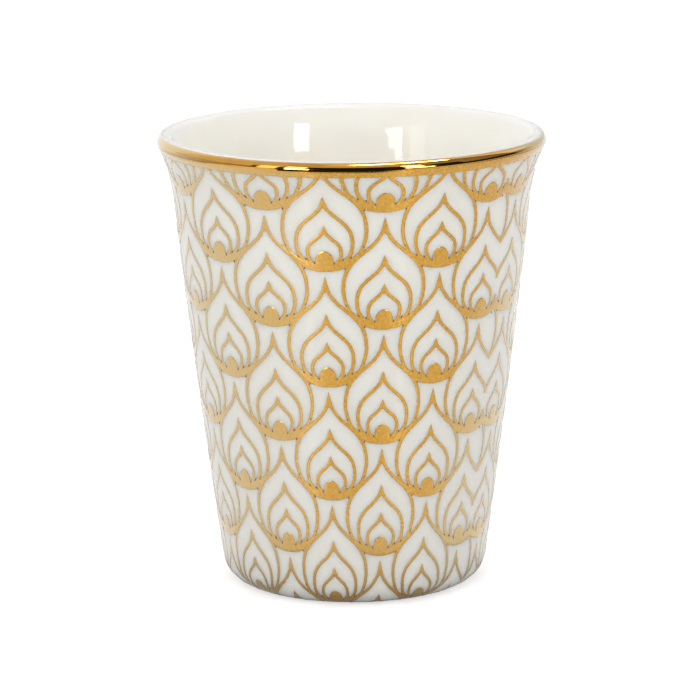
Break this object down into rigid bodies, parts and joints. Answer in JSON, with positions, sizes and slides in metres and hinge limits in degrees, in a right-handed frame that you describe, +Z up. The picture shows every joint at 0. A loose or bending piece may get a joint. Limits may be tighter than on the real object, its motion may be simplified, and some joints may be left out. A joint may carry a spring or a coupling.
{
  "type": "espresso cup",
  "caption": "Handleless tapered porcelain espresso cup with a flared round lip, a bright gold lip line and an all-over gold ogee scale print on its wall.",
  "frame": {"origin": "on the cup's axis, in the plane that the foot ring stands on", "axes": "+Z up along the cup's axis; -Y towards the side that the picture shows, with the print's seam to the right of it"},
  "size_m": [0.06, 0.06, 0.0706],
  "materials": {
    "glazed_porcelain": "gloss",
    "bright_gold": "polished",
    "satin_gold": "satin"
  },
  "bodies": {
    "root": {"porcelain_body": "glazed_porcelain", "gold_lip_line": "bright_gold", "gold_print": "satin_gold"}
  },
  "joints": []
}
